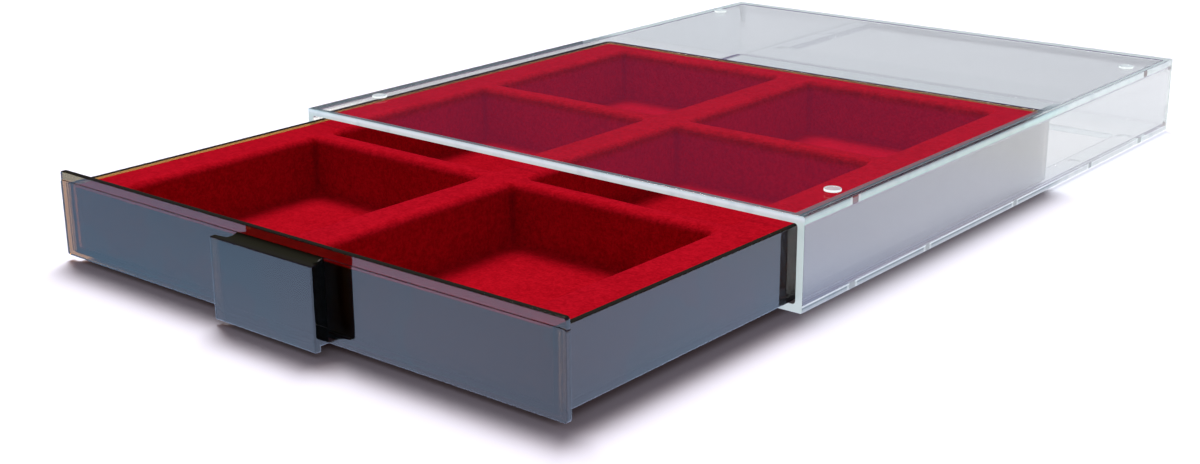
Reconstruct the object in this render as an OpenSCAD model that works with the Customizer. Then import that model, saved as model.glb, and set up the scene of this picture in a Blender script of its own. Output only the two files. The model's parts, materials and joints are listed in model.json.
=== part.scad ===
// Coin box: a clear case open at the front, a smoked drawer that slides in it, and a flocked insert
// with square pockets. Millimetres, +Z up. The origin is the centre of the case's underside and the
// drawer comes out towards -Y.

/* [Case] */
// Width of the case over its side walls
case_w = 236; // [180:1:320]
// Depth of the case from its mouth to its back
case_d = 303; // [220:1:420]
// Height of the case without its studs
case_h = 33; // [26:0.5:60]
// Thickness of the side and back walls
case_wall = 2.7; // [2:0.1:4]
// Thickness of the top plate
case_top_t = 2.8; // [2:0.1:4]
// Thickness of the floor frame
case_floor_t = 2.8; // [2.4:0.1:4]
// Rounding of the outer edges
case_edge_r = 0.6; // [0.4:0.1:1.6]
// Rounding of the inner corners, seen at the mouth
case_inner_r = 1.2; // [0.4:0.1:2]
// Width of the floor's front and back rails, from the case's outer face
end_rail_w = 32; // [15:0.5:60]
// Corner radius of the floor window
window_r = 3; // [1:0.5:8]

/* [Stacking] */
// Diameter of the studs on the top plate
stud_d = 6; // [4:0.1:6.6]
// Height of the studs
stud_h = 0.9; // [0.7:0.1:1.5]
// Rounding of the studs' upper edge
stud_edge_r = 0.3; // [0.1:0.05:0.4]
// Depth of the dish in the studs' top
stud_dish = 0.15; // [0.1:0.05:0.3]
// Distance from the case's side to a stud's centre
stud_in_x = 9; // [8:0.5:30]
// Distance from the case's front or back to a stud's centre
stud_in_y = 31; // [12:0.5:60]
// Radial room of the underside recess round a stud
recess_room = 0.3; // [0.1:0.05:0.5]
// Room over the stud inside the recess
recess_over = 0.3; // [0.1:0.05:0.4]
// Width of floor left between a recess and the window
recess_margin = 0.7; // [0.4:0.1:10]
// Diameter of the ejector marks under the side rails
mark_d = 5; // [3:0.5:6]
// Depth of the ejector marks
mark_depth = 0.6; // [0.3:0.1:1]
// Distance between the ejector marks along a rail
mark_pitch = 69; // [40:1:75]

/* [Drawer] */
// How far the drawer stands open
drawer_out = 113.3; // [20:0.1:260]
// Gap between the drawer's side and the case's wall
side_gap = 1.8; // [0.5:0.1:3]
// Gap between the drawer and the case's floor
floor_gap = 0.3; // [0.2:0.05:1]
// Gap behind the closed drawer
back_gap = 1.2; // [0.5:0.1:5]
// Gap between the drawer's rim and the case's top plate
rim_gap = 1.4; // [0.6:0.1:4]
// Thickness of the drawer's side and back walls
drawer_wall = 2.2; // [1.6:0.1:3.5]
// Thickness of the drawer's bottom
drawer_bottom_t = 2; // [1.5:0.1:3]
// Inner radius of the drawer's upright back corners
tray_in_r = 0.8; // [0.3:0.1:4]

/* [Front panel] */
// Thickness of the panel
panel_t = 2.2; // [1.8:0.1:4]
// Gap between the closed panel and the case's front edge
panel_gap = 0.2; // [0.1:0.05:0.5]
// Distance from the case's side to the panel's end
panel_in_x = 1; // [0.2:0.1:1.8]
// Height of the panel's lower edge above the case's underside
panel_low = 1.8; // [0.4:0.1:2.2]
// Distance from the case's top down to the panel's upper edge
panel_drop = 0.2; // [0:0.1:1]
// Height of the strip above the panel's parting step
strip_h = 3.2; // [2:0.1:5]
// Depth of the parting step
strip_step = 0.2; // [0.1:0.05:0.4]
// Rounding of the panel's upright edges
panel_edge_r = 0.6; // [0.2:0.1:0.8]
// Rounding of the panel's four corners, seen from the front
panel_corner_r = 1; // [0.4:0.1:2]
// Fillet between the panel's back and the drawer's sides
panel_fillet = 1.2; // [0.4:0.1:1.6]
// Room kept between that fillet and the case's wall
fillet_room = 0.3; // [0.2:0.05:0.5]

/* [Handle] */
// Width of the handle's front plate
handle_w = 48; // [30:0.5:90]
// How far the handle reaches below the panel's lower edge
handle_below = 0.2; // [0:0.1:1.2]
// How far the handle stands out from the panel
handle_out = 8.2; // [6.5:0.1:14]
// Thickness of the front plate
plate_t = 2.2; // [1.5:0.1:3]
// How far the neck is set in from the plate's ends
neck_in = 3.4; // [2.6:0.1:6]
// Fillet between the plate and the neck
neck_r = 2.4; // [1:0.1:2.5]
// Rounding of the plate's edges
plate_edge_r = 0.5; // [0.2:0.1:0.7]
// Depth of the thumb dish in the handle's top
dish_depth = 0.7; // [0.3:0.1:1.5]

/* [Insert] */
// Number of pockets side by side
columns = 2; // [1:1:4]
// Number of pockets from front to back
rows = 3; // [1:1:5]
// Width of the ribs between pockets side by side, and along the sides
rib_x = 16.5; // [8:0.5:24]
// Width of the ribs between rows of pockets, and at the ends
rib_y = 9.6; // [7.5:0.1:24]
// Thickness of the flocked sheet
sheet_t = 1; // [0.8:0.1:1.4]
// Gap between the insert and the drawer's walls
insert_gap = 0.4; // [0.2:0.1:1]
// Distance from the drawer's rim down to the insert's top
insert_drop = 0.6; // [0.4:0.1:5]
// Radius of the pockets' upright corners
pocket_r = 2; // [1:0.5:12]
// Rounding of the pockets' rims
rim_r = 3.2; // [1.5:0.1:3.6]
// Rounding of the insert's outer upper edges
insert_edge_r = 0.8; // [0.4:0.1:3]

/* [Hidden] */
$fn = 48;
// Overlap that lets a cut pass clean through a face
over = 1;
// Depth by which one solid of a piece is sunk into the next
sunk = 0.4;

// Case
case_front_y = -case_d / 2;
case_back_y = case_d / 2;
case_in_w = case_w - 2 * case_wall;
case_in_top = case_h - case_top_t;
stud_x = case_w / 2 - stud_in_x;
stud_y = case_d / 2 - stud_in_y;
recess_r = stud_d / 2 + recess_room;
recess_depth = stud_h + recess_over;
side_rail_w = stud_in_x + recess_r + recess_margin;

// Drawer, drawn shut and then moved out by drawer_out
drawer_w = case_in_w - 2 * side_gap;
drawer_z0 = case_floor_t + floor_gap;
drawer_z1 = case_in_top - rim_gap;
drawer_back_y = case_back_y - case_wall - back_gap;
panel_back_y = case_front_y - panel_gap;
panel_front_y = panel_back_y - panel_t;
panel_w = case_w - 2 * panel_in_x;
panel_top = case_h - panel_drop;
strip_z = panel_top - strip_h;
tray_in_w = drawer_w - 2 * drawer_wall;
tray_in_y1 = drawer_back_y - drawer_wall;
tray_in_z0 = drawer_z0 + drawer_bottom_t;
tray_r = tray_in_r + drawer_wall;
fillet_r = min(panel_fillet, side_gap - fillet_room);
travel = drawer_out - panel_gap;

// Handle
handle_top = strip_z;
handle_z0 = panel_low - handle_below;
handle_h = handle_top - handle_z0;
handle_front_y = panel_front_y - handle_out;
neck_w = handle_w - 2 * neck_in;
dish_reach = handle_out - plate_t;
dish_r = (dish_reach * dish_reach / 4 + dish_depth * dish_depth) / (2 * dish_depth);

// Insert
insert_w = tray_in_w - 2 * insert_gap;
insert_y0 = panel_back_y + insert_gap;
insert_y1 = tray_in_y1 - insert_gap;
insert_d = insert_y1 - insert_y0;
insert_z0 = tray_in_z0;
insert_z1 = drawer_z1 - insert_drop;
pocket_w = (insert_w - (columns + 1) * rib_x) / columns;
pocket_d = (insert_d - (rows + 1) * rib_y) / rows;

// A rectangle about the origin with round corners
module rounded_rect(w, d, r) {
    square([w - 2 * r, d], center = true);
    square([w, d - 2 * r], center = true);
    for (x = [-1, 1], y = [-1, 1])
        translate([x * (w / 2 - r), y * (d / 2 - r)])
            circle(r = r);
}

// Raises a profile drawn in X and Z and carries it along Y from y0 to y1
module along_y(y0, y1) {
    translate([0, y1, 0])
        rotate([90, 0, 0])
            linear_extrude(y1 - y0)
                children();
}

// Raises a profile drawn in Y and Z and carries it along X by the width w, centred
module along_x(w) {
    translate([-w / 2, 0, 0])
        rotate([90, 0, 90])
            linear_extrude(w)
                children();
}

// Repeats its children at the four studs
module at_studs() {
    for (x = [-1, 1], y = [-1, 1])
        translate([x * stud_x, y * stud_y, 0])
            children();
}

// Case
module case_outside() {
    intersection() {
        along_y(case_front_y, case_back_y)
            translate([0, case_h / 2])
                rounded_rect(case_w, case_h, case_edge_r);
        linear_extrude(case_h)
            rounded_rect(case_w, case_d, case_edge_r);
    }
}

module case_inside() {
    along_y(case_front_y - over, case_back_y - case_wall)
        translate([0, (case_floor_t + case_in_top) / 2])
            rounded_rect(case_in_w, case_in_top - case_floor_t, case_inner_r);
}

module floor_window() {
    translate([0, 0, -over])
        linear_extrude(case_floor_t + 2 * over)
            rounded_rect(case_w - 2 * side_rail_w, case_d - 2 * end_rail_w, window_r);
}

// A low round stud with a rounded rim and a shallow dish, sunk into the top plate
module stud() {
    rim_in = stud_d / 2 - 2 * stud_edge_r;
    rotate_extrude()
        difference() {
            union() {
                translate([0, -sunk])
                    square([stud_d / 2, stud_h + sunk - stud_edge_r]);
                translate([0, -sunk])
                    square([stud_d / 2 - stud_edge_r, stud_h + sunk]);
                translate([stud_d / 2 - stud_edge_r, stud_h - stud_edge_r])
                    circle(r = stud_edge_r);
            }
            translate([0, stud_h - stud_dish])
                square([rim_in, stud_dish + over]);
        }
}

module case() {
    color("lightcyan", 0.35)
        difference() {
            union() {
                case_outside();
                at_studs()
                    translate([0, 0, case_h])
                        stud();
            }
            case_inside();
            floor_window();
            at_studs()
                translate([0, 0, -over])
                    cylinder(r = recess_r, h = recess_depth + over);
            for (x = [-1, 1], step = [-1, 0, 1])
                translate([x * stud_x, step * mark_pitch, -over])
                    cylinder(d = mark_d, h = mark_depth + over);
        }
}

// Drawer
module tray_plan(w, y1, r) {
    depth = y1 - panel_back_y;
    translate([0, panel_back_y + depth / 2])
        difference() {
            rounded_rect(w, depth, r);
            translate([0, -depth / 2])
                square([w + over, 2 * r], center = true);
        }
    translate([-w / 2, panel_back_y])
        square([w, 2 * r]);
}

module tray() {
    difference() {
        translate([0, 0, drawer_z0])
            linear_extrude(drawer_z1 - drawer_z0)
                tray_plan(drawer_w, drawer_back_y, tray_r);
        translate([0, 0, tray_in_z0])
            linear_extrude(drawer_z1 - tray_in_z0 + over)
                tray_plan(tray_in_w, tray_in_y1, tray_in_r);
    }
}

// A slab of the panel's outline, with its upright edges rounded, set in by inset in front and at the ends
module panel_slab(z0, z1, inset) {
    thick = panel_t - inset;
    intersection() {
        translate([0, panel_back_y - thick / 2, z0])
            linear_extrude(z1 - z0)
                rounded_rect(panel_w - 2 * inset, thick, panel_edge_r);
        along_y(panel_front_y - over, panel_back_y + over)
            translate([0, (panel_low + panel_top) / 2])
                rounded_rect(panel_w - 2 * inset, panel_top - panel_low, panel_corner_r);
    }
}

module front_panel() {
    panel_slab(panel_low, strip_z, 0);
    panel_slab(strip_z - sunk, panel_top, strip_step);
}

// Concave fillets where the sides meet the panel's back
module panel_fillets() {
    for (side = [0, 1])
        mirror([side, 0, 0])
            translate([drawer_w / 2, panel_back_y, drawer_z0])
                linear_extrude(drawer_z1 - drawer_z0)
                    difference() {
                        translate([-sunk, -sunk])
                            square(fillet_r + sunk);
                        translate([fillet_r, fillet_r])
                            circle(r = fillet_r);
                    }
}

module drawer() {
    color("dimgray", 0.6)
        translate([0, -travel, 0]) {
            tray();
            front_panel();
            panel_fillets();
        }
}

// Handle: a plan with a flared plate in front of a narrower neck, cut to a rounded side profile
module handle_plan() {
    neck_y0 = handle_front_y + plate_t;
    translate([0, handle_front_y + plate_t / 2])
        rounded_rect(handle_w, plate_t, plate_edge_r);
    difference() {
        translate([-neck_w / 2 - neck_r, neck_y0 - sunk])
            square([neck_w + 2 * neck_r, panel_front_y - neck_y0 + sunk]);
        for (side = [-1, 1]) {
            translate([side * (neck_w / 2 + neck_r), neck_y0 + neck_r])
                circle(r = neck_r);
            translate([side * (neck_w / 2 + neck_r), neck_y0 + neck_r + handle_out / 2])
                square([2 * neck_r, handle_out], center = true);
        }
    }
}

module handle_profile() {
    middle_y = (handle_front_y + panel_front_y + handle_out) / 2;
    difference() {
        translate([middle_y, handle_z0 + handle_h / 2])
            rounded_rect(2 * handle_out, handle_h, plate_edge_r);
        translate([handle_front_y + plate_t + dish_reach / 2, handle_top - dish_depth + dish_r])
            circle(r = dish_r);
    }
}

module drawer_handle() {
    color("dimgray", 0.7)
        translate([0, -travel, 0])
            intersection() {
                translate([0, 0, handle_z0])
                    linear_extrude(handle_h)
                        handle_plan();
                along_x(handle_w + over)
                    handle_profile();
            }
}

// Insert
// Repeats its children at the middle of each pocket
module at_pockets() {
    for (c = [0:columns - 1], r = [0:rows - 1])
        translate([
            -insert_w / 2 + rib_x + pocket_w / 2 + c * (pocket_w + rib_x),
            insert_y0 + rib_y + pocket_d / 2 + r * (pocket_d + rib_y),
            0
        ])
            children();
}

// The ribs' plan: the insert's outline set in by edge, less the pockets grown by grow
module rib_plan(edge, grow) {
    difference() {
        translate([0, insert_y0 + insert_d / 2])
            square([insert_w - 2 * edge, insert_d - 2 * edge], center = true);
        at_pockets()
            rounded_rect(pocket_w + 2 * grow, pocket_d + 2 * grow, pocket_r + grow);
    }
}

// What a rim's rounding takes off a square edge, drawn outwards from the pocket's wall
module rim_cut() {
    difference() {
        translate([-sunk, -rim_r])
            square([rim_r + sunk, rim_r + over]);
        translate([rim_r, -rim_r])
            circle(r = rim_r);
    }
}

// The rounding carried round one pocket's mouth
module mouth_cut() {
    for (turn = [0, 1, 2, 3]) {
        across = turn % 2 == 0 ? pocket_w : pocket_d;
        reach = turn % 2 == 0 ? pocket_d : pocket_w;
        rotate([0, 0, 90 * turn]) {
            translate([across / 2, reach / 2 - pocket_r, 0])
                rotate([90, 0, 0])
                    linear_extrude(reach - 2 * pocket_r)
                        rim_cut();
            translate([across / 2 - pocket_r, reach / 2 - pocket_r, 0])
                rotate_extrude(angle = 90)
                    translate([pocket_r, 0])
                        rim_cut();
        }
    }
}

// The insert's outside with its upper edges rounded
module insert_outside() {
    height = insert_z1 - insert_z0;
    intersection() {
        along_y(insert_y0, insert_y1)
            translate([0, insert_z1 - height])
                rounded_rect(insert_w, 2 * height, insert_edge_r);
        translate([0, insert_y0 + insert_d / 2, 0])
            along_x(insert_w)
                translate([0, insert_z1 - height])
                    rounded_rect(insert_d, 2 * height, insert_edge_r);
        translate([0, 0, insert_z0])
            linear_extrude(height)
                rib_plan(0, 0);
    }
}

module coin_insert() {
    color("crimson")
        translate([0, -travel, 0]) {
            difference() {
                insert_outside();
                // Hollow under the ribs, stepped in below their rounded tops
                translate([0, 0, insert_z0 - over])
                    linear_extrude(insert_z1 - rim_r - insert_z0 + over)
                        rib_plan(sheet_t, sheet_t);
                translate([0, 0, insert_z0 - over])
                    linear_extrude(insert_z1 - sheet_t - insert_z0 + over)
                        rib_plan(max(sheet_t, insert_edge_r), rim_r);
                translate([0, 0, insert_z1])
                    at_pockets()
                        mouth_cut();
            }
            translate([0, 0, insert_z0])
                linear_extrude(sheet_t)
                    at_pockets()
                        rounded_rect(pocket_w + sheet_t, pocket_d + sheet_t, pocket_r + sheet_t / 2);
        }
}

case();
drawer();
drawer_handle();
coin_insert();
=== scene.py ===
import bpy
import json
import math
import bmesh
import numpy as np
from mathutils import Matrix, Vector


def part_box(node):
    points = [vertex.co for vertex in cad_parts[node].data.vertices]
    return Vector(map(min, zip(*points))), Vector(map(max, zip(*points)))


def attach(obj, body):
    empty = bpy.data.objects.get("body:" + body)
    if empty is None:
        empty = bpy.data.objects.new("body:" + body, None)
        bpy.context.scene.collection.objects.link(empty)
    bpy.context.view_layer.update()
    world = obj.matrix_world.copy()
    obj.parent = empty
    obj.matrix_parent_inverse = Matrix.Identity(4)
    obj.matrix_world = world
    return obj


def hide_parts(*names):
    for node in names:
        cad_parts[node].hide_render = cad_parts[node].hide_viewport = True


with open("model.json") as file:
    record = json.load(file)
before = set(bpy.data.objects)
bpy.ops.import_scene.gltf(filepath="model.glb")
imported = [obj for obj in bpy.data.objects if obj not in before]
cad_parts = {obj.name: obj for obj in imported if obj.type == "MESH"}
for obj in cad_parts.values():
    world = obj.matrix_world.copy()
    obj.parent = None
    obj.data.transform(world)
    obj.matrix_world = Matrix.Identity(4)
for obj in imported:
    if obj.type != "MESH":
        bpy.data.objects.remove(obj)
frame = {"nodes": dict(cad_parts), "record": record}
bpy.context.view_layer.update()
mm = 0.001
white, black = (1, 1, 1, 1), (0, 0, 0, 1)
mounts = {m["name"]: m for m in frame["record"]["mounts"]}
caseTop = mounts["top_face"]["pos_m"][2] / mm
studs, recesses = (mounts[name]["dims"] for name in ("stacking_studs", "stacking_recesses"))
print("frame loaded:", ", ".join(frame["nodes"]))


def nodeBox(node):
    # Lowest and highest corner of a CAD node's box, in millimetres
    return [np.array(corner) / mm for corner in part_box(node)]


# Mesh helpers

manyPoints, somePoints, fewPoints = 9, 7, 5  # along a quarter turn, by its size
circlePoints = 13  # along each quarter of a full circle


def quarter(count):
    # Sine and cosine of a quarter turn in even steps
    turn = np.linspace(0, 1, count) * math.pi / 2
    return np.sin(turn), np.cos(turn)


def roundedRings(halfU, halfV, centreV, radius, arcPoints=somePoints, sidePoints=0):
    # One rounded rectangle per row: a quarter circle at each corner and straight runs between them.
    # A corner point is centre + sign * (half - radius) + radius * (cos, sin) of the turning angle.
    # radius has one value per row, or four per row: corners ++, -+, -- and +-
    rows = len(halfU)
    column = lambda value: np.broadcast_to(value, rows)[:, None, None]
    corner = np.broadcast_to(np.reshape(radius, (rows, -1)), (rows, 4))[:, :, None]
    signU = np.array([1, -1, -1, 1])[None, :, None]
    signV = np.array([1, 1, -1, -1])[None, :, None]
    turn = np.arange(4)[None, :, None] * math.pi / 2 + np.linspace(0, math.pi / 2, arcPoints)[None, None, :]
    u = signU * (column(halfU) - corner) + corner * np.cos(turn)
    v = column(centreV) + signV * (column(halfV) - corner) + corner * np.sin(turn)
    arcs = np.stack([u, v], -1)
    along = np.linspace(0, 1, sidePoints + 2)[1:-1, None]
    runs = arcs[:, :, -1:, :] * (1 - along) + np.roll(arcs, -1, axis=1)[:, :, :1, :] * along
    return np.concatenate([arcs, runs], axis=2).reshape(rows, -1, 2)


def ringQuads(rows, columns):
    # Quads between neighbouring rows of points, each row closed on itself
    row = np.arange(rows - 1)[:, None] * columns
    here = np.arange(columns)[None, :]
    after = (here + 1) % columns
    quads = np.stack([row + here, row + after, row + columns + after, row + columns + here], -1)
    return quads.reshape(-1, 4).tolist()


def raised(rings, heights, plane="xy"):
    # Flat rings of points, each at its height: plane xy stacks them along z, plane xz along y
    level = np.broadcast_to(np.asarray(heights, float)[:, None], rings.shape[:2])
    u, v = rings[..., 0], rings[..., 1]
    return np.stack([u, v, level] if plane == "xy" else [u, level, v], -1).reshape(-1, 3)


def lastRing(rings):
    # The face that closes the last ring
    rows, columns = rings.shape[:2]
    return list(range((rows - 1) * columns, rows * columns))


def stackedSolid(rings, heights, plane):
    # A profile carried along a path: rings of points at their heights, closed by a flat cap at each end
    rows, columns = rings.shape[:2]
    faces = ringQuads(rows, columns) + [list(range(columns)), lastRing(rings)]
    return raised(rings, heights, plane), faces


def turnedSolid(radii, heights):
    # A round solid: circles of these radii at these heights
    return stackedSolid(roundedRings(radii, radii, 0, radii, circlePoints), heights, "xy")


def manySolids(solids):
    # Several solids as one list of points and faces
    points, faces, start = [], [], 0
    for solidPoints, solidFaces in solids:
        points.append(solidPoints)
        faces += [[start + i for i in face] for face in solidFaces]
        start += len(solidPoints)
    return np.concatenate(points), faces


def moved(solid, offset):
    return solid[0] + np.asarray(offset, float), solid[1]


def buildPiece(name, points, faces, mergeWithin=1e-7):
    # Points in millimetres become a mesh in metres, with doubles merged and normals outward
    mesh = bpy.data.meshes.new(name)
    mesh.from_pydata((np.asarray(points) * mm).tolist(), [], faces)
    work = bmesh.new()
    work.from_mesh(mesh)
    bmesh.ops.remove_doubles(work, verts=work.verts, dist=mergeWithin)
    bmesh.ops.recalc_face_normals(work, faces=work.faces)
    work.to_mesh(mesh)
    work.free()
    piece = bpy.data.objects.new(name, mesh)
    bpy.context.scene.collection.objects.link(piece)
    return piece


def carve(piece, solid, how):
    # Adds or cuts a solid by one exact boolean and keeps the result as a plain mesh
    tool = buildPiece("tool", *solid)
    change = piece.modifiers.new("carve", "BOOLEAN")
    change.operation, change.object, change.solver = how, tool, "EXACT"
    dressed = piece.evaluated_get(bpy.context.evaluated_depsgraph_get())
    result = bpy.data.meshes.new_from_object(dressed)
    piece.modifiers.clear()
    piece.data = result
    bpy.data.objects.remove(tool)


def polish(piece, sharpAngle=35, alongAxis=0.9999):
    # Faces square to an axis are shaded flat, the roundings between them smooth
    mesh = piece.data
    mesh.set_sharp_from_angle(angle=math.radians(sharpAngle))
    normals = np.empty(len(mesh.polygons) * 3)
    mesh.polygons.foreach_get("normal", normals)
    mesh.polygons.foreach_set("use_smooth", np.abs(normals.reshape(-1, 3)).max(1) < alongAxis)


# Material helpers

faceLimits = {"level": (0.6, 0.9), "side": (0.6, 0.8), "up": (0.5, 0.8)}  # share of a normal along its axis


class Wire:
    # A node's output socket; sums, products and the like add their Math nodes
    def __init__(self, look, socket):
        self.look, self.socket = look, socket

    def maths(self, kind, *values):
        return self.look.node("ShaderNodeMath", {"operation": kind}, dict(enumerate(values)))

    def __add__(self, other):
        return self.maths("ADD", self, other)

    def __mul__(self, other):
        return self.maths("MULTIPLY", self, other)

    def __sub__(self, other):
        return self.maths("SUBTRACT", self, other)

    def __rsub__(self, other):
        return self.maths("SUBTRACT", other, self)

    def most(self, other):
        return self.maths("MAXIMUM", self, other)

    def least(self, other):
        return self.maths("MINIMUM", self, other)

    def size(self):
        return self.maths("ABSOLUTE", self)

    def between(self, low, high):
        # 0 at low, 1 at high, smooth in between; low may be the larger one
        return self.look.node("ShaderNodeMapRange", {"interpolation_type": "SMOOTHSTEP"},
                              {"Value": self, "From Min": low, "From Max": high})

    def above(self, limit, soft):
        # 1 from the limit up, 0 further below it than the width soft
        return self.between(limit - soft, limit)

    def below(self, limit, soft):
        return self.between(limit + soft, limit)

    def tint(self, low, high):
        # A colour that goes from low to high as this value goes from 0 to 1
        return self.look.blend(self, low, high)


class Look:
    # A node tree under construction, for a material or the world
    def __init__(self, owner):
        owner.use_nodes = True
        self.owner, self.tree = owner, owner.node_tree
        self.tree.nodes.clear()

    def node(self, kind, settings=None, sockets=None, output=0):
        made = self.tree.nodes.new(kind)
        for name, value in (settings or {}).items():
            setattr(made, name, value)
        for name, value in (sockets or {}).items():
            if isinstance(value, Wire):
                self.tree.links.new(value.socket, made.inputs[name])
            else:
                made.inputs[name].default_value = value
        return Wire(self, made.outputs[output])

    def place(self):
        return self.node("ShaderNodeTexCoord", output="Object")

    def noise(self, scale, detail):
        return self.node("ShaderNodeTexNoise", {}, {"Vector": self.place(), "Scale": scale, "Detail": detail})

    def parts(self, vector):
        apart = self.node("ShaderNodeSeparateXYZ", {}, {"Vector": vector}).socket.node
        return [Wire(self, one) for one in apart.outputs]

    def axes(self):
        # Object coordinates in millimetres
        return [one * (1 / mm) for one in self.parts(self.place())]

    def facing(self):
        # Where the surface itself faces, along x, y and z
        return self.parts(self.node("ShaderNodeNewGeometry", output="True Normal"))

    def level(self):
        # 1 on faces that lie level, either way up
        return self.facing()[2].size().between(*faceLimits["level"])

    def fromOutside(self):
        return 1 - self.node("ShaderNodeNewGeometry", output="Backfacing")

    def mirror(self, ior):
        # The share that a polished face throws back
        return self.node("ShaderNodeFresnel", {}, {"IOR": ior})

    def blend(self, share, usual, other, how="MIX"):
        # A Mix node's colour sockets are inputs 6 and 7 and output 2
        settings = {"data_type": "RGBA", "blend_type": how}
        return self.node("ShaderNodeMix", settings, {0: share, 6: usual, 7: other}, 2)

    def ramp(self, value, stops):
        # A colour and a share (its alpha) that follow a value from 0 through these stops
        span = stops[-1][0]
        made = self.node("ShaderNodeValToRGB", {}, {0: value * (1 / span)}).socket.node
        elements = made.color_ramp.elements
        elements.remove(elements[1])
        elements[0].color = stops[0][1]
        for at, colour in stops[1:]:
            elements.new(at / span).color = colour
        return [Wire(self, one) for one in made.outputs]

    def mixed(self, share, usual, other):
        return self.node("ShaderNodeMixShader", {}, {0: share, 1: usual, 2: other})

    def ray(self, kind):
        # 1 for rays of this kind; a ray through polished plastic counts as glossy too
        return self.node("ShaderNodeLightPath", output="Is " + kind + " Ray")

    def through(self):
        # 1 once the ray has gone into plastic, also after it was turned back inside
        return self.node("ShaderNodeLightPath", output="Transmission Depth").least(1)

    def bounced(self):
        # 1 for rays that a polished face threw back on its outside
        return self.ray("Glossy") * (1 - self.through())

    def finish(self, surface, volume=None):
        isWorld = isinstance(self.owner, bpy.types.World)
        out = self.tree.nodes.new("ShaderNodeOutputWorld" if isWorld else "ShaderNodeOutputMaterial")
        self.tree.links.new(surface.socket, out.inputs["Surface"])
        if volume:
            self.tree.links.new(volume.socket, out.inputs["Volume"])
        return self.owner


# Camera

cameraSetup = {
    "place": (393.7, -588.1, 194.1),  # mm
    "yaw": -39.50,  # degrees, from +Y towards +X
    "pitch": 17.92,  # degrees below the horizon
    "roll": -0.33,
    "focal": 1692.7,  # pixels in an image 1200 wide
    "imageWidth": 1200,
    "sensor": 36.0,
    "clip": (0.01, 50.0),  # m
}


def makeCamera(setup):
    yaw, pitch, roll = (math.radians(setup[k]) for k in ("yaw", "pitch", "roll"))
    forward = np.array([math.sin(yaw) * math.cos(pitch), math.cos(yaw) * math.cos(pitch), -math.sin(pitch)])
    right = np.array([math.cos(yaw), -math.sin(yaw), 0.0])
    up = np.cross(right, forward)
    rolledRight = right * math.cos(roll) + up * math.sin(roll)
    rolledUp = up * math.cos(roll) - right * math.sin(roll)
    data = bpy.data.cameras.new("camera")
    data.sensor_fit, data.sensor_width = "HORIZONTAL", setup["sensor"]
    data.lens = setup["focal"] / setup["imageWidth"] * setup["sensor"]
    data.clip_start, data.clip_end = setup["clip"]
    camera = bpy.data.objects.new("camera", data)
    turned = np.eye(4)
    turned[:3, :3] = np.stack([rolledRight, rolledUp, -forward], 1)
    turned[:3, 3] = np.array(setup["place"]) * mm
    camera.matrix_world = Matrix(turned.tolist())
    bpy.context.scene.collection.objects.link(camera)
    bpy.context.scene.camera = camera


makeCamera(cameraSetup)
print("camera placed")


# Clear case: a flat sleeve open in front, with a window in its floor and studs on top

clearCase = {
    "wall": 2.7, "top": 2.8, "floor": 2.8,  # mm, thicknesses
    "corner": 0.7, "edge": 0.6,  # roundings outside, along the sleeve and round the back
    "innerCorner": 1.2, "innerBack": 1.0,  # roundings inside
    "lipOuter": 0.4, "lipInner": 0.3,  # roundings at the mouth
    "rail": 32.0, "windowBeside": 0.7,  # from the window to the back face, and to the recesses
    "windowRound": 3.0, "windowEdge": 0.4,
    "studHeight": 0.9, "studEdge": 0.3, "studDish": 0.15, "dishIn": 0.6, "dishSlope": 0.18,
    "recessDepth": 1.2, "recessEdge": 0.25,
    "markRadius": 2.5, "markDepth": 0.6, "markEdge": 0.15, "markPitch": 69.0,
    "over": 1.0, "sunk": 0.4,  # how far a cut reaches out, and a stud in
}


def caseSleeve(sizes, low, high):
    # Rounded rectangles in xz stacked along y: from the back's middle over its edge, forward along the
    # outside, round the lip, back along the inside and into the inner back corner
    edge, innerBack, lipOuter, lipInner = (sizes[k] for k in ("edge", "innerBack", "lipOuter", "lipInner"))
    sinE, cosE = quarter(somePoints)
    sinL, cosL = quarter(fewPoints)
    midZ, halfW, halfH = (low[2] + high[2]) / 2, high[0], (high[2] - low[2]) / 2
    inW, inH = halfW - sizes["wall"], halfH - (sizes["top"] + sizes["floor"]) / 2
    inZ = midZ + (sizes["floor"] - sizes["top"]) / 2
    inset = np.concatenate([edge * (1 - cosE)[::-1], lipOuter * (1 - cosL)])
    outerY = np.concatenate([high[1] - edge * (1 - sinE[::-1]), low[1] + lipOuter * (1 - sinL)])
    grow = np.concatenate([lipInner * (1 - cosL)[::-1], -innerBack * (1 - cosE)])
    innerY = np.concatenate([low[1] + lipInner * (1 - sinL[::-1]),
                             high[1] - sizes["wall"] - innerBack * (1 - sinE)])
    outer = roundedRings(halfW - inset, halfH - inset, midZ, sizes["corner"] - inset)
    inner = roundedRings(inW + grow, inH + grow, inZ, sizes["innerCorner"] + grow)
    return stackedSolid(np.concatenate([outer, inner]), np.concatenate([outerY, innerY]), "xz")


def caseStud(sizes):
    # A turned profile: upright side, rounded rim, shallow dish
    sinR, cosR = quarter(fewPoints)
    radius, edge, height = studs["stud_r_mm"], sizes["studEdge"], sizes["studHeight"]
    dish = radius - sizes["dishIn"]
    radii = np.concatenate([[radius], radius - edge + edge * cosR, [dish, dish - sizes["dishSlope"]]])
    heights = np.concatenate([[-sizes["sunk"]], height - edge + edge * sinR,
                              [height, height - sizes["studDish"]]])
    return moved(turnedSolid(radii, heights), (0, 0, caseTop))


def floorWindow(sizes, halfW, halfD):
    # Rounded rectangles in xy stacked along z, wider by a quarter round at the floor's lower and upper face
    sinW, cosW = quarter(fewPoints)
    edge, over, floor = sizes["windowEdge"], sizes["over"], sizes["floor"]
    grow = edge * np.concatenate([[1], 1 - sinW, (1 - sinW)[::-1], [1]])
    level = np.concatenate([[-over], edge * (1 - cosW), floor - edge * (1 - cosW)[::-1], [floor + over]])
    return stackedSolid(roundedRings(halfW + grow, halfD + grow, 0, sizes["windowRound"] + grow), level, "xy")


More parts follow.
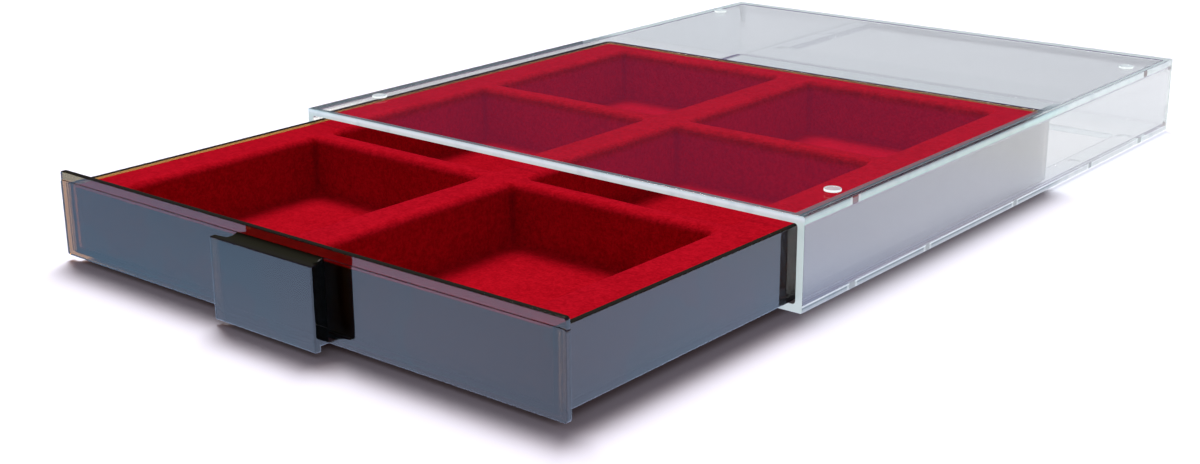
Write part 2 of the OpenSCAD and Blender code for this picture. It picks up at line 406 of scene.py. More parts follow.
def makeCase(sizes):
    low, high = nodeBox("case")
    high[2] = caseTop  # the node's box goes up to the studs' tops
    piece = buildPiece("clearCase", *caseSleeve(sizes, low, high))
    studX, studY = studs["spacing_x_mm"] / 2, studs["spacing_y_mm"] / 2
    corners = [(x * studX, y * studY, 0) for x in (-1, 1) for y in (-1, 1)]
    carve(piece, manySolids([moved(caseStud(sizes), at) for at in corners]), "UNION")
    # Cuts from below: recesses that take the studs of the box below, ejector marks, the window
    over, deep, flare = sizes["over"], sizes["recessDepth"], sizes["recessEdge"]
    radius = recesses["hole_r_mm"]
    recess = turnedSolid([radius + flare + over, radius, radius, radius - flare],
                         [-over, flare, deep - flare, deep])
    markRadius, markDepth, markEdge = sizes["markRadius"], sizes["markDepth"], sizes["markEdge"]
    mark = turnedSolid([markRadius, markRadius, markRadius - markEdge],
                       [-over, markDepth - markEdge, markDepth])
    marks = [(x * studX, step * sizes["markPitch"], 0) for x in (-1, 1) for step in (-1, 0, 1)]
    window = floorWindow(sizes, studX - radius - sizes["windowBeside"], high[1] - sizes["rail"])
    cuts = [moved(recess, at) for at in corners] + [moved(mark, at) for at in marks] + [window]
    carve(piece, manySolids(cuts), "DIFFERENCE")
    polish(piece)
    return piece


# Smoked drawer: tray, front panel and handle as one skin

smokedDrawer = {
    "wall": 2.2, "bottom": 2.0,  # mm, thicknesses
    "frontWall": 1.3, "frontShown": 0.05,  # the tray's front wall, and what of it stands behind the panel
    "panel": 2.2, "panelCorner": 1.1, "panelEdge": 0.25,
    "strip": 3.2, "stripStep": 0.2, "stripSunk": 1.2, "stripBack": 0.02,  # set back along the panel's top
    "bodyHalf": 113.5, "bodyLow": 3.1, "bodyHigh": 28.8,
    "rim": 0.3, "bottomEdge": 0.5, "innerFoot": 0.8,
    "backRound": 3.0, "frontRound": 0.3, "leastRound": 0.25,
    "fillet": 1.2, "sunk": 0.4,
    "plate": 2.2, "plateEdge": 0.5, "plateBackEdge": 0.3, "plateCorner": 0.6, "cornerShare": 0.8,
    "neckIn": 3.4, "neckRound": 2.4, "neckRows": 8, "thumbDish": 0.7,
}


def drawerTray(sizes, panelBack, back):
    # Rounded rectangles in xy stacked along z: under the bottom, up the outside, over the rim, down inside.
    # The front wall runs inside the panel and is thinner than the others, so rings shrink less there
    sinE, cosE = quarter(fewPoints)
    wall, rim, foot, edge = (sizes[k] for k in ("wall", "rim", "innerFoot", "bottomEdge"))
    low, high = sizes["bodyLow"], sizes["bodyHigh"]
    inset = np.concatenate([edge * (1 - sinE), rim * (1 - cosE), wall - rim * (1 - cosE)[::-1],
                            wall + foot * (1 - cosE)])
    level = np.concatenate([low + edge * (1 - cosE), high - rim * (1 - sinE), high - rim * (1 - sinE)[::-1],
                            low + sizes["bottom"] + foot * (1 - sinE)])
    front = panelBack + sizes["frontShown"] - sizes["frontWall"]
    frontInset = np.minimum(inset, wall) * sizes["frontWall"] / wall + np.maximum(inset - wall, 0)
    midY = (back + front) / 2 + (frontInset - inset) / 2
    halfY = (back - front) / 2 - (frontInset + inset) / 2
    backRound = np.maximum(sizes["backRound"] - inset, sizes["leastRound"])
    frontRound = np.full_like(inset, sizes["frontRound"])
    radius = np.stack([backRound, backRound, frontRound, frontRound], 1)
    return stackedSolid(roundedRings(sizes["bodyHalf"] - inset, halfY, midY, radius), level, "xy")


def panelSlab(sizes, halfW, low, high, front, back):
    # A plate with rounded outline and rounded front and back edges, stacked along y
    edge = sizes["panelEdge"]
    sinE, cosE = quarter(fewPoints)
    inset = np.concatenate([edge * (1 - sinE), edge * (1 - sinE)[::-1]])
    y = np.concatenate([front + edge * (1 - cosE), back - edge * (1 - cosE)[::-1]])
    halfH, midZ = (high - low) / 2, (low + high) / 2
    rings = roundedRings(halfW - inset, halfH - inset, midZ, sizes["panelCorner"] - inset)
    return stackedSolid(rings, y, "xz")


def drawerHandle(sizes, low, high, panelFront):
    # Rounded rectangles in xz stacked along y: front edge, plate, fillet to the neck, neck into the panel.
    # Behind the plate the top sinks for the thumb by an arc, 4 * share * (1 - share) of its depth
    sinE, cosE = quarter(fewPoints)
    sinN, cosN = quarter(manyPoints)
    edge, backEdge, turn = sizes["plateEdge"], sizes["plateBackEdge"], sizes["neckRound"]
    halfW, front, neckRows = high[0], low[1], sizes["neckRows"]
    neckHalf, plateBack = halfW - sizes["neckIn"], front + sizes["plate"]
    neckY = np.linspace(plateBack + turn, panelFront + sizes["sunk"], neckRows + 1)[1:]
    y = np.concatenate([front + edge * (1 - cosE), plateBack - backEdge * (1 - sinE),
                        plateBack + turn * (1 - cosN), neckY])
    width = np.concatenate([halfW - edge * (1 - sinE), halfW - backEdge * (1 - cosE),
                            neckHalf + turn * (1 - sinN), np.full(neckRows, neckHalf)])
    inset = np.concatenate([edge * (1 - sinE), np.zeros(len(y) - len(sinE))])
    share = np.clip((y - plateBack) / (panelFront - plateBack), 0, 1)
    top = high[2] - inset - sizes["thumbDish"] * 4 * share * (1 - share)
    bottom = low[2] + inset
    corner = sizes["plateCorner"] - inset * sizes["cornerShare"]
    return stackedSolid(roundedRings(width, (top - bottom) / 2, (top + bottom) / 2, corner), y, "xz")


def sideFillet(sizes, side, panelBack):
    # A concave quarter round between the panel's back and one side, carried up along z
    sinF, cosF = quarter(somePoints)
    radius, sunk = sizes["fillet"], sizes["sunk"]
    u = np.concatenate([[-sunk, -sunk], radius * (1 - sinF), [radius]])
    v = np.concatenate([[-sunk, radius], radius * (1 - cosF), [-sunk]])
    ring = np.stack([side * (sizes["bodyHalf"] + u), panelBack + v], -1)
    low, high = sizes["bodyLow"] + sizes["bottomEdge"], sizes["bodyHigh"] - sizes["rim"]
    return stackedSolid(np.stack([ring, ring]), [low, high], "xy")


def makeDrawer(sizes):
    low, high = nodeBox("drawer")
    panelFront, panelBack = low[1], low[1] + sizes["panel"]
    stripLow, step = high[2] - sizes["strip"], sizes["stripStep"]
    piece = buildPiece("smokedDrawer", *drawerTray(sizes, panelBack, high[1]))
    panel = panelSlab(sizes, high[0], low[2], stripLow, panelFront, panelBack)
    strip = panelSlab(sizes, high[0] - step, stripLow - sizes["stripSunk"], high[2], panelFront + step,
                      panelBack - sizes["stripBack"])
    handle = drawerHandle(sizes, *nodeBox("drawer_handle"), panelFront)
    fillets = manySolids([sideFillet(sizes, side, panelBack) for side in (-1, 1)])
    for solid in (panel, strip, handle, fillets):
        carve(piece, solid, "UNION")
    polish(piece)
    return piece


# Flocked insert: a formed sheet with six pockets

flockedInsert = {
    "count": (2, 3), "rib": (16.5, 9.6),  # pockets, and mm between them, along x and y
    "sheet": 1.0, "foot": 1.0,  # the pocket floor lies this far above the insert's lowest edge
    "pocketRound": 1.5, "leastRound": 1.2, "rim": 3.2, "draft": 0.7, "footRound": 1.8,
    "outerRim": 0.5, "outerRound": 1.5,
    "sag": 0.25, "floorMiddle": 0.1,  # the floor's last ring as a share of its first
    "arcPoints": 9, "sidePoints": 22, "wallRows": 5, "floorRows": 6, "skirtRows": 4,
    "wave": 0.12,
    # Each wave: turn per mm along x and y, start, share
    "waves": [(0.061, 0.043, 0.7, 1.0), (0.11, -0.087, 2.1, 1.0),
              (0.19, 0.23, 4.0, 0.6), (0.37, -0.31, 1.1, 0.4)],
}


def pocketSize(sizes, whole):
    count, rib = np.array(sizes["count"]), np.array(sizes["rib"])
    return (whole[:2] - (count + 1) * rib) / count


def pocketRings(sizes, pocket, top, floor):
    # Rounded rectangles from a pocket's rim to the middle of its floor. The profile, as how far outside the
    # wall line and how high, is a quarter round, a leaning wall and a hollow quarter round; then the floor's
    # rings shrink, and it sags by the square of the way to its middle
    rim, foot, draft = sizes["rim"], sizes["footRound"], sizes["draft"]
    sinR, cosR = quarter(manyPoints)
    sinF, cosF = quarter(somePoints)
    down = np.linspace(0, 1, sizes["wallRows"] + 2)[1:-1]
    wallTop, wallFoot = top - rim, floor + foot
    shrink = np.linspace(1, sizes["floorMiddle"], sizes["floorRows"] + 1)[1:]
    inward = lambda values: np.concatenate([values, values[-1] * shrink])
    offset = np.concatenate([rim * (1 - sinR), -draft * down, -draft - foot * (1 - cosF)])
    level = np.concatenate([top - rim * (1 - cosR), wallTop + (wallFoot - wallTop) * down,
                            floor + foot * (1 - sinF), floor - sizes["sag"] * (1 - shrink ** 2)])
    radius = inward(np.maximum(sizes["pocketRound"] + offset, sizes["leastRound"]))
    rings = roundedRings(inward(pocket[0] / 2 + offset), inward(pocket[1] / 2 + offset), 0, radius,
                         sizes["arcPoints"], sizes["sidePoints"])
    return rings, level


def cellBorder(sizes, ring, cellLow, cellHigh):
    # The rectangle round one pocket, with a point for each point of the pocket's ring: straight runs go
    # straight across, and each corner's quarter circle is spread over both sides of the rectangle's corner
    arc = sizes["arcPoints"]
    half = arc // 2
    ring = ring.reshape(4, arc + sizes["sidePoints"], 2)
    border = ring.copy()
    share = np.linspace(0, 1, half + 1)[:, None]
    for corner, sign in enumerate(((1, 1), (-1, 1), (-1, -1), (1, -1))):
        tip = np.where(np.array(sign) > 0, cellHigh, cellLow)
        axis = corner % 2  # across the side where this corner's arc starts
        start, stop = ring[corner, 0].copy(), ring[corner, arc - 1].copy()
        start[axis], stop[1 - axis] = tip[axis], tip[1 - axis]
        border[corner, :half + 1] = start + (tip - start) * share
        border[corner, half:arc] = tip + (stop - tip) * share
        border[corner, arc:, 1 - axis] = tip[1 - axis]
    return border.reshape(-1, 2)


def insertSkirt(sizes, borders, edgeLow, edgeHigh, top, bottom, near=1e-6, digits=7):
    # The outer edge: the cells' border points along the four sides, in turn round the insert, carried over a
    # quarter round and down to the foot
    points, sides = np.concatenate(borders), []
    for axis, edge, order in ((0, edgeHigh, 1), (1, edgeHigh, -1), (0, edgeLow, -1), (1, edgeLow, 1)):
        onSide = np.abs(points[:, axis] - edge[axis]) < near
        along = np.unique(np.round(points[onSide, 1 - axis], digits))[::order]
        across = np.full(len(along), edge[axis])
        sides.append(np.stack([along, across] if axis else [across, along], 1)[:-1])
    path = np.concatenate(sides)
    outward = np.isclose(path, edgeHigh).astype(float) - np.isclose(path, edgeLow)
    sinR, cosR = quarter(manyPoints)
    rim, rows = sizes["outerRim"], sizes["skirtRows"]
    reach = np.concatenate([rim * sinR, np.full(rows, rim)])
    level = np.concatenate([top - rim * (1 - cosR), np.linspace(top - rim, bottom, rows + 1)[1:]])
    plan = path[None] + outward[None] * reach[:, None, None]
    return raised(plan, level), ringQuads(*plan.shape[:2])


def squareToRound(points, centre, reach, tiny=1e-9):
    # Rounds the outline's corners: beyond the corner centre, squares about it become circles
    beyond = np.maximum(np.abs(points - centre) - reach, 0)
    square = beyond.max(-1, keepdims=True)
    length = np.maximum(np.linalg.norm(beyond, axis=-1, keepdims=True), tiny)
    inside = np.minimum(np.abs(points - centre), reach)
    return centre + np.sign(points - centre) * (inside + beyond * square / length)


def softWaves(points, waves):
    # Slow unevenness of a formed sheet: a sum of sine waves in several directions, by their shares
    x, y = points[:, 0], points[:, 1]
    total = sum(share * np.sin(x * perX + y * perY + start) for perX, perY, start, share in waves)
    return total / sum(wave[-1] for wave in waves)


def makeInsert(sizes):
    low, high = nodeBox("coin_insert")
    top, floor, whole = high[2], low[2] + sizes["foot"], high - low
    pocket, rib, count = pocketSize(sizes, whole), np.array(sizes["rib"]), np.array(sizes["count"])
    pitch = pocket + rib
    rings, level = pocketRings(sizes, pocket, top, floor)
    edgeLow, edgeHigh = low[:2] + sizes["outerRim"], high[:2] - sizes["outerRim"]
    sheets, borders = [], []
    for place in np.ndindex(*count):
        centre = low[:2] + (rib + pocket / 2 + place * pitch)
        cellLow = np.where(np.equal(place, 0), edgeLow, centre - pitch / 2)
        cellHigh = np.where(np.equal(place, count - 1), edgeHigh, centre + pitch / 2)
        borders.append(cellBorder(sizes, rings[0] + centre, cellLow, cellHigh))
        plan = np.concatenate([borders[-1][None], rings + centre])
        sheets.append((raised(plan, [top, *level]), ringQuads(*plan.shape[:2]) + [lastRing(plan)]))
    sheets.append(insertSkirt(sizes, borders, edgeLow, edgeHigh, top, low[2]))
    points, faces = manySolids(sheets)
    middle = (low[:2] + high[:2]) / 2
    points[:, :2] = squareToRound(points[:, :2], middle, whole[:2] / 2 - sizes["outerRound"])
    aboveFloor = np.clip((points[:, 2] - floor) / (top - floor), 0, 1)
    points[:, 2] += sizes["wave"] * softWaves(points, sizes["waves"]) * aboveFloor
    piece = buildPiece("flockedInsert", points, faces)
    piece.data.shade_smooth()
    sheet = piece.modifiers.new("sheet", "SOLIDIFY")
    sheet.thickness, sheet.offset, sheet.use_even_offset = sizes["sheet"] * mm, -1, False
    return piece


# What both plastics have in common

plasticGloss = {
    "smudge": 0.06, "smudgeNoise": (14.0, 4.0), "smudgeFrom": (0.45, 0.8),  # roughness; scale, detail; limits
}


def passing(look, colour):
    return look.node("ShaderNodeBsdfTransparent", {}, {"Color": colour})


def letThrough(look, surface, shadow):
    # Lamps and soft light go straight through the plastic, so what lies inside is lit
    return look.mixed(look.ray("Shadow"), look.mixed(look.ray("Diffuse"), surface, shadow), shadow)


def shinyPlastic(look, finish, tint):
    # In the photo upright faces mirror more than plain plastic would, so gloss is added there
    smudge = look.noise(*plasticGloss["smudgeNoise"]).between(*plasticGloss["smudgeFrom"])
    glass = look.node("ShaderNodeBsdfPrincipled", {}, {
        "Base Color": tint, "Roughness": 0.0, "IOR": finish["ior"], "Transmission Weight": 1.0})
    shine = look.node("ShaderNodeBsdfGlossy", {}, {
        "Roughness": smudge * plasticGloss["smudge"], "Color": finish["shineTint"]})
    return look.mixed((1 - look.level()) * look.mirror(finish["ior"]) * finish["shine"], glass, shine)


def absorbing(look, finish):
    return look.node("ShaderNodeVolumeAbsorption", {}, {
        "Color": finish["bodyTint"], "Density": finish["density"]})


# Clear plastic

clearFinish = {
    "ior": 1.45, "shine": 2.2, "shineTint": white,
    "calm": 0.85, "inside": (0.7, 0.95), "turns": (1, 2),  # share turned back inside, and number of turns
    "shadowTint": (0.98, 0.985, 0.985, 1), "edgeShadow": (0.55, 0.56, 0.58, 1),
    "bodyTint": (0.25, 0.72, 0.70, 1), "density": 8.0,
    "edgeTint": (0.08, 0.10, 0.10, 1), "edgeRoughness": 0.25,
    "lipDeep": 0.1, "sideDeep": 1.0, "soft": 0.2,  # mm
    # Height in mm, then colour and share of the painted light that comes out there
    "sideStops": [(0.0, (0.48, 0.51, 0.55, 0.8)), (0.5, (0.44, 0.48, 0.53, 0.8)),
                  (1.3, (0.34, 0.40, 0.45, 0.8)), (1.5, (0.17, 0.21, 0.24, 0.8)),
                  (2.0, (0.17, 0.21, 0.24, 0.8)), (2.2, (0.72, 0.78, 0.85, 0.8)),
                  (2.6, (0.72, 0.78, 0.85, 0.8)), (2.75, (0.8, 0.85, 0.9, 0.0)),
                  (30.1, (0.52, 0.74, 0.70, 0.0)), (30.3, (0.52, 0.74, 0.70, 0.65)),
                  (31.6, (0.52, 0.74, 0.74, 0.65)), (32.4, (0.34, 0.54, 0.58, 0.65)),
                  (33.0, (0.22, 0.38, 0.42, 0.65))],
    "lipStops": [(0.0, (0.58, 0.66, 0.69, 0.9)), (30.4, (0.58, 0.67, 0.68, 0.9)),
                 (31.2, (0.60, 0.69, 0.73, 0.9)), (32.0, (0.74, 0.82, 0.90, 0.9)),
                 (32.5, (0.66, 0.78, 0.85, 0.9)), (33.0, (0.36, 0.54, 0.60, 0.9))],
    # Painted light along the side walls: more behind the drawer, and a lighter line along the back end
    "rearGlow": (0.72, 0.75, 0.79, 1), "rearFade": (25.0, 50.0), "rearShare": 0.75,  # mm
    "backLine": (0.58, 0.65, 0.64, 1), "backLineWide": 2.0, "backLineShare": 0.75,  # mm
    # Painted shade: dark lines on the top plate, behind the lip and beside the drawer
    "paintedLipShade": (0.015, 0.06, 0.07, 1), "lipShadeWide": 2.0, "lipShadeShare": 0.85,  # mm
    "paintedGapShade": (0.02, 0.055, 0.065, 1), "gapShadeFrom": 113.3, "gapShadeTo": 116.2, "gapShadeShare": 0.7,  # mm
    # Painted glints round painted darker hearts, in the edges at studs, recesses and ejector marks
    "paintedDarkHeartBelow": (0.30, 0.33, 0.35, 1), "paintedDarkHeartAbove": (0.12, 0.06, 0.06, 1),
    "paintedMarkGlint": (0.75, 0.82, 0.84, 1), "markGlintShare": 0.5,
    "ringOut": 0.2, "ringIn": 0.8, "markSoft": 0.6, "markFar": 90.0,  # mm
    # Painted light on the studs: bright sides, lighter tops
    "studTop": (0.52, 0.60, 0.62, 1), "studTopShare": 0.65,
    "paintedStudGlint": (0.95, 1.0, 1.0, 1), "studGlintShare": 0.95, "studAbove": 0.1,  # mm
    "streak": (0.82, 0.85, 0.88, 1), "streakNoise": (160.0, 3.0), "streakFrom": (0.45, 0.75),
}


def clearBody(look, finish, x, y, high):
    # In the photo level faces mirror less, so most of their mirror is taken off. Light led on inside a wall
    # leaves it after a few turns, but not at the outer faces of sides and back
    deep, soft = finish["sideDeep"], finish["soft"]
    inside = look.mirror(finish["ior"]).between(*finish["inside"])
    turns = look.node("ShaderNodeLightPath", output="Glossy Depth").between(*finish["turns"])
    inner = (1 - x.size().above(high[0] - deep, soft)) * (1 - y.above(high[1] - deep, soft))
    calm = look.node("ShaderNodeBsdfRefraction", {}, {"Roughness": 0.0, "IOR": finish["ior"]})
    faces = look.mixed(look.level() * (1 - inside) * finish["calm"], shinyPlastic(look, finish, white), calm)
    return look.mixed(turns * inside * inner, faces, passing(look, white))


def sideLight(look, finish, y, z, back):
    # Painted light: colour and share along the side walls by height. Behind the drawer more light comes in
    soft = finish["soft"]
    colour, share = look.ramp(z, finish["sideStops"])
    colour = look.blend(y.between(*finish["rearFade"]) * finish["rearShare"], colour, finish["rearGlow"])
    # At studs, recesses and ejector marks the edge has a painted glint round a painted darker heart, by the
    # distance beyond the nearest one's rim. Ejector marks are below only, so above they count as far away
    along = y.size()
    under = z.below(caseTop / 2, soft)
    ejector = along.least((along - clearCase["markPitch"]).size()) - clearCase["markRadius"]
    stud = (along - studs["spacing_y_mm"] / 2).size() - studs["stud_r_mm"]
    beyond = stud.least(ejector + (1 - under) * finish["markFar"])
    around = beyond.above(-finish["ringIn"], finish["markSoft"])
    ring = beyond.below(finish["ringOut"], soft) * around
    colour = look.blend(1 - around, colour, under.tint(finish["paintedDarkHeartAbove"], finish["paintedDarkHeartBelow"]))
    colour = look.blend(ring * finish["markGlintShare"], colour, finish["paintedMarkGlint"])
    # A painted lighter line runs along the back end
    backLine = y.above(back - finish["backLineWide"], soft)
    return look.blend(backLine, colour, finish["backLine"]), share.most(backLine * finish["backLineShare"])


def clearMaterial(name, finish):
    # Light led along the plates comes out at their ends, painted as an emission colour: at the lip, along
    # both long edges and at the studs
    look = Look(bpy.data.materials.new(name))
    low, high = nodeBox("case")
    soft = finish["soft"]
    x, y, z = look.axes()
    level = look.level()
    sides = look.facing()[0].size().between(*faceLimits["side"])
    sides = sides * x.size().above(high[0] - finish["sideDeep"], soft)
    lip = y.below(low[1] + finish["lipDeep"], soft)
    stud = z.between(caseTop, caseTop + finish["studAbove"])
    sideColour, sideShare = sideLight(look, finish, y, z, high[1])
    lipColour, lipShare = look.ramp(z, finish["lipStops"])
    # Painted light on the studs: bright glints on their sides, lighter tops
    studColour = level.tint(finish["paintedStudGlint"], finish["studTop"])
    studShare = level * (finish["studTopShare"] - finish["studGlintShare"]) + finish["studGlintShare"]
    colour = look.blend(stud, look.blend(lip, sideColour, lipColour), studColour)
    # Painted shade on the top plate: dark lines behind the lip, and where the wall hides the gap beside the
    # drawer
    onTop = level * z.between(caseTop - soft, caseTop - soft / 2) * (1 - stud)
    paintedLipShade = onTop * (1 - lip) * y.below(low[1] + finish["lipShadeWide"], soft)
    beside = x.size().above(finish["gapShadeFrom"], soft) * x.size().below(finish["gapShadeTo"], soft)
    paintedGapShade = onTop * beside * y.between(*finish["rearFade"][::-1])
    colour = look.blend(paintedGapShade, look.blend(paintedLipShade, colour, finish["paintedLipShade"]), finish["paintedGapShade"])
    # The painted light is made uneven by fine streaks
    streaks = look.noise(*finish["streakNoise"]).between(*finish["streakFrom"])
    uneven = look.blend(streaks, colour, finish["streak"], "MULTIPLY")
    lit = look.node("ShaderNodeBsdfPrincipled", {}, {
        "Base Color": finish["edgeTint"], "Roughness": finish["edgeRoughness"], "IOR": finish["ior"],
        "Emission Color": uneven, "Emission Strength": 1.0})
    edges = (sides * sideShare).most(lip * lipShare).most(stud * studShare)
    edges = edges.most(paintedLipShade * finish["lipShadeShare"]).most(paintedGapShade * finish["gapShadeShare"])
    edges = edges * look.fromOutside() * (1 - look.bounced())
    surface = look.mixed(edges, clearBody(look, finish, x, y, high), lit)
    shadow = look.mixed(edges, passing(look, finish["shadowTint"]), passing(look, finish["edgeShadow"]))
    return look.finish(letThrough(look, surface, shadow), absorbing(look, finish))


# Smoked plastic

smokedFinish = {
    "ior": 1.59, "shine": 0.5, "shineTint": (0.9, 1.0, 1.0, 1),
    "shadowTint": (0.70, 0.68, 0.76, 1), "bodyTint": (0.70, 0.49, 0.10, 1), "density": 1350.0,
    # Rims painted near-black from above; bouncedShare paints the drawer mostly dark where polished faces
    # mirror it
    "rimPaintedBlack": (0.016, 0.016, 0.011, 1), "rimRoughness": 0.12, "rimShare": 0.9,
    "rimDown": 0.5, "rimIn": 2.6, "soft": 0.2,  # mm, from the panel's top and from the tray's outside
    # stripTint paints the strip above the step cyan-grey, so the flock seen through it looks less red
    "stripTint": (0.58, 0.8, 0.8, 1), "bouncedShare": 0.8,
}


def smokedMaterial(name, finish):
    # Down into an upright wall the light's way through the plastic is long, so rims are painted black from
    # above
    look = Look(bpy.data.materials.new(name))
    low, high = nodeBox("drawer")
    soft = finish["soft"]
    x, y, z = look.axes()
    upward = look.facing()[2].between(*faceLimits["up"])
    tray = x.size().above(smokedDrawer["bodyHalf"] - finish["rimIn"], soft)
    panel = y.below(low[1] + smokedDrawer["panel"] + soft / 2, soft)
    crest = panel * z.between(high[2] - finish["rimDown"], high[2] - finish["rimDown"] / 2)
    dark = (upward * tray.most(panel)).most(crest) * look.fromOutside() * finish["rimShare"]
    deep = look.node("ShaderNodeBsdfPrincipled", {}, {
        "Base Color": finish["rimPaintedBlack"], "Roughness": finish["rimRoughness"], "IOR": finish["ior"],
        "Specular IOR Level": 0.0})
    # The strip above the panel's step is painted cyan-grey, so the flock seen through it looks less red
    strip = panel * z.above(high[2] - smokedDrawer["strip"] + soft, soft)
    bare = shinyPlastic(look, finish, strip.tint(white, finish["stripTint"]))
    # Where polished faces mirror the drawer, it is painted mostly dark too
    surface = look.mixed(dark.most(look.bounced() * finish["bouncedShare"]), bare, deep)
    shadow = passing(look, finish["shadowTint"])
    return look.finish(letThrough(look, surface, shadow), absorbing(look, finish))


# Red flock

flockFinish = {
    "pile": (0.44, 0.004, 0.012, 1), "shade": (0.27, 0.001, 0.004, 1),
    "grain": (1000.0, 2.0), "clump": (380.0, 3.0), "broad": (45.0, 2.0),  # scale and detail of each noise
    "toneShares": (0.5, 0.35, 0.15), "toneFrom": (0.34, 0.66),
    "bumpShares": (0.7, 0.3), "bump": 0.6, "bumpDeep": 0.0003,  # m
    "sheen": 0.9, "sheenTint": (1.0, 0.02, 0.07, 1), "sheenRoughness": 0.45,
    # A weak painted glow of the flock's own, for light passed to and fro under the plastic
    "glow": 0.32, "glowOpen": 0.25, "glowTop": 0.35,
    "deepGlow": (0.36, 0.006, 0.045, 1), "deepFrom": 1.0, "deepTo": 5.0,  # mm below the top
    # Bare outer sides, painted near-black for the shaded hollow under the sheet
    "bare": (0.035, 0.012, 0.016, 1), "bareRoughness": 0.5,
    "bareDeep": 0.6, "bareDrop": 0.2, "soft": 0.3,  # mm
    # Painted shade in the pockets' corners
    "paintedCornerShade": (0.05, 0.001, 0.006, 1), "cornerShadeShare": 0.55, "cornerShadeWide": 3.0, "cornerShadeTop": 2.0,  # mm
}


def flockMaterial(name, finish):
    # Fibres on the upper side; below the rim the outer sides are bare, painted near-black for the shaded
    # hollow under the formed sheet
    look = Look(bpy.data.materials.new(name))
    low, high = nodeBox("coin_insert")
    middle, half, top, soft = (low + high) / 2, (high - low) / 2, high[2], finish["soft"]
    x, y, z = look.axes()
    fromX, fromY = (x - middle[0]).size(), (y - middle[1]).size()
    sideX, sideY = (side.above(reach - finish["bareDeep"], soft) for side, reach in zip((fromX, fromY), half))
    bare = sideX.most(sideY) * z.below(top - finish["bareDrop"] - 2 * soft, 2 * soft)
    # Painted corner shade: close to two walls of a pocket at once, by distances from the nearest pocket's
    # middle
    pocket = pocketSize(flockedInsert, high - low)
    pitch = pocket + flockedInsert["rib"]
    nearX = (fromX - pitch[0] / 2).size().above(pocket[0] / 2, finish["cornerShadeWide"])
    nearY = fromY.least((fromY - pitch[1]).size()).above(pocket[1] / 2, finish["cornerShadeWide"])
    down = z.between(top - finish["cornerShadeTop"], top - 2 * finish["cornerShadeTop"])
    paintedCornerShade = nearX * nearY * down * finish["cornerShadeShare"]
    noises = [look.noise(*finish[kind]) for kind in ("grain", "clump", "broad")]
    grain, clump, broad = (noise * share for noise, share in zip(noises, finish["toneShares"]))
    tone = (grain + clump + broad).between(*finish["toneFrom"])
    colour = look.blend(paintedCornerShade, tone.tint(finish["shade"], finish["pile"]), finish["paintedCornerShade"])
    colour = look.blend(bare, colour, finish["bare"])
    # Light goes to and fro between the flock and the plastic above it; this is painted as a glow of the
    # flock's own, stronger where seen through the plastic, and there stronger and more purple deep in the
    # pockets
    deep = z.between(top - finish["deepFrom"], top - finish["deepTo"])
    inner = look.blend(deep * look.through(), colour, finish["deepGlow"])
    extra = (deep * (1 - finish["glowTop"]) + finish["glowTop"]) * (1 - finish["glowOpen"])
    passedOn = look.blend(look.through() * extra + finish["glowOpen"], black, inner)
    fineHeight, coarseHeight = (noise * share for noise, share in zip(noises, finish["bumpShares"]))
    bump = look.node("ShaderNodeBump", {}, {
        "Strength": finish["bump"], "Distance": finish["bumpDeep"], "Height": fineHeight + coarseHeight})
    cloth = look.node("ShaderNodeBsdfPrincipled", {}, {
        "Base Color": colour, "Roughness": 1.0, "Specular IOR Level": 0.0, "Normal": bump,
        "Sheen Weight": finish["sheen"], "Sheen Roughness": finish["sheenRoughness"],
        "Sheen Tint": finish["sheenTint"], "Emission Color": passedOn, "Emission Strength": finish["glow"]})
    sheet = look.node("ShaderNodeBsdfPrincipled", {}, {
        "Base Color": finish["bare"], "Roughness": finish["bareRoughness"]})
    return look.finish(look.mixed(bare, cloth, sheet))


def dress(piece, body, slot, material, *nodes):
    piece.data.materials.clear()
    piece.data.materials.append(material)
    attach(piece, body)
    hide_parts(*nodes)
    print("made", piece.name, len(piece.data.polygons), "faces")


dress(makeCase(clearCase), "case", "clear_plastic", clearMaterial("clearPlastic", clearFinish), "case")
dress(makeDrawer(smokedDrawer), "drawer", "smoked_plastic", smokedMaterial("smokedPlastic", smokedFinish),
      "drawer", "drawer_handle")
dress(makeInsert(flockedInsert), "drawer", "red_flock", flockMaterial("redFlock", flockFinish), "coin_insert")


# Studio: pale floor, white surroundings, a large soft lamp above and behind

studio = {
    "floorDrop": 0.3,  # mm below the case
    "floorSize": 12.0,  # m
    "floorColour": (0.90, 0.90, 0.91, 1), "floorSeen": (0.95, 0.95, 1.08, 1),
    # The floor through plastic has painted shade: most behind the case, less further forward, none at the
    # left in front. Fades in mm
    "floorShadedBehind": (0.53, 0.565, 0.61, 1), "floorShadedUnder": (0.62, 0.635, 0.67, 1), "underFade": (170.0, 130.0),
    "floorNear": white, "nearFade": (-20.0, -70.0), "nearLeft": (-60.0, -120.0),
    # The floor mirrored in upright faces is a painted reflection with colours of its own; in front of the
    # drawer
    "mirroredFront": (0.90, 1.03, 1.45, 1), "mirroredLeft": (0.52, 0.77, 1.16, 1), "leftFade": (-160.0, 60.0),
    # The same painted reflection beside the case, mm behind mirrorFrom: colour, and its share
    # beside the front's colour
    "mirrorFrom": -250.0,
    "mirrorStops": [(0.0, (0.93, 0.98, 1.26, 0)), (100.0, (0.93, 0.98, 1.26, 0)),
                    (180.0, (0.93, 0.98, 1.24, 1)), (280.0, (0.93, 0.96, 1.12, 1)),
                    (330.0, (0.97, 0.99, 1.04, 1)), (500.0, (1.03, 1.03, 1.09, 1))],
    "ambient": (1.0, 0.87, 0.92, 1), "ambientStrength": 0.2,
    "ceiling": (0.14, 0.10, 0.22, 1), "wallTop": 0.05, "ceilingFrom": 0.15,  # heights of a ray's direction
    "keyPlace": (-1.8, 1.45, 4.6), "keySize": (2.2, 2.2),  # m
    "keyPower": 325.0, "keyColour": (1.0, 0.98, 0.96),
}


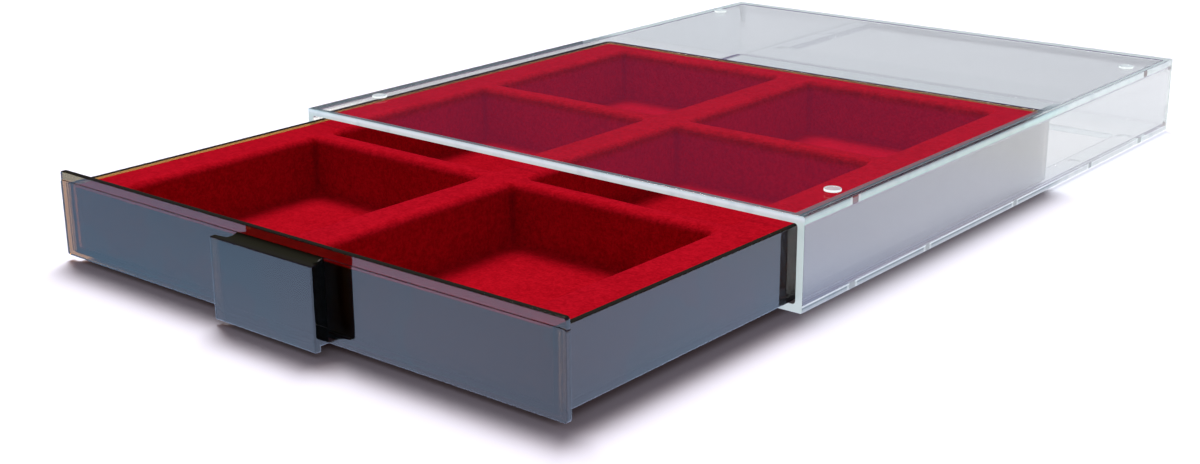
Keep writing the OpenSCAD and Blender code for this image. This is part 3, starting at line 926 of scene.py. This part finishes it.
def makeFloor(setup):
    half = setup["floorSize"] / 2 / mm
    corners = [(x * half, y * half, -setup["floorDrop"]) for x, y in ((-1, -1), (1, -1), (1, 1), (-1, 1))]
    floor = buildPiece("floor", corners, [[0, 1, 2, 3]])
    look = Look(bpy.data.materials.new("paleFloor"))
    x, y = look.axes()[:2]
    near = y.between(*setup["nearFade"]) * x.between(*setup["nearLeft"])
    # Painted shade on the floor where it is seen through plastic
    behind = y.between(*setup["underFade"]).tint(setup["floorShadedBehind"], setup["floorShadedUnder"])
    behind = look.blend(near, behind, setup["floorNear"])
    unseen = look.blend(look.through(), setup["floorColour"], behind)
    tone = look.blend(look.ray("Camera"), unseen, setup["floorSeen"])
    paper = look.node("ShaderNodeBsdfDiffuse", {}, {"Color": tone})
    # Painted reflection: mirrored, the floor shows an emission colour of its own, not its lit paper
    front = x.between(*setup["leftFade"]).tint(setup["mirroredLeft"], setup["mirroredFront"])
    beside, besideShare = look.ramp(y - setup["mirrorFrom"], setup["mirrorStops"])
    mirrored = look.node("ShaderNodeEmission", {}, {"Color": look.blend(besideShare, front, beside)})
    floor.data.materials.append(look.finish(look.mixed(look.bounced(), paper, mirrored)))


def glow(look, colour, strength=1.0):
    return look.node("ShaderNodeBackground", {}, {"Color": colour, "Strength": strength})


def makeRoom(setup):
    # White surroundings up to a little above the horizon, a dim ceiling above for gloss
    world = bpy.data.worlds.new("studio")
    bpy.context.scene.world = world
    look = Look(world)
    toward = look.node("ShaderNodeTexCoord", output="Generated")
    height = look.parts(toward)[2].between(setup["wallTop"], setup["ceilingFrom"])
    bright, ceiling = glow(look, white), glow(look, setup["ceiling"])
    ambient = glow(look, setup["ambient"], setup["ambientStrength"])
    glossy = look.ray("Glossy").most(look.ray("Transmission"))
    unseen = look.mixed(glossy, ambient, look.mixed(height, bright, ceiling))
    look.finish(look.mixed(look.ray("Camera"), unseen, bright))


def makeKey(setup):
    lamp = bpy.data.lights.new("key", "AREA")
    lamp.shape, lamp.energy, lamp.color = "RECTANGLE", setup["keyPower"], setup["keyColour"]
    lamp.size, lamp.size_y = setup["keySize"]
    key = bpy.data.objects.new("key", lamp)
    bpy.context.scene.collection.objects.link(key)
    key.location = setup["keyPlace"]
    key.rotation_mode = "QUATERNION"
    key.rotation_quaternion = (-key.location).to_track_quat("-Z", "Y")
    key.visible_camera = False


makeFloor(studio)
makeRoom(studio)
makeKey(studio)
bpy.context.scene.view_settings.view_transform = "Standard"
print("studio lit")

bpy.context.view_layer.update()
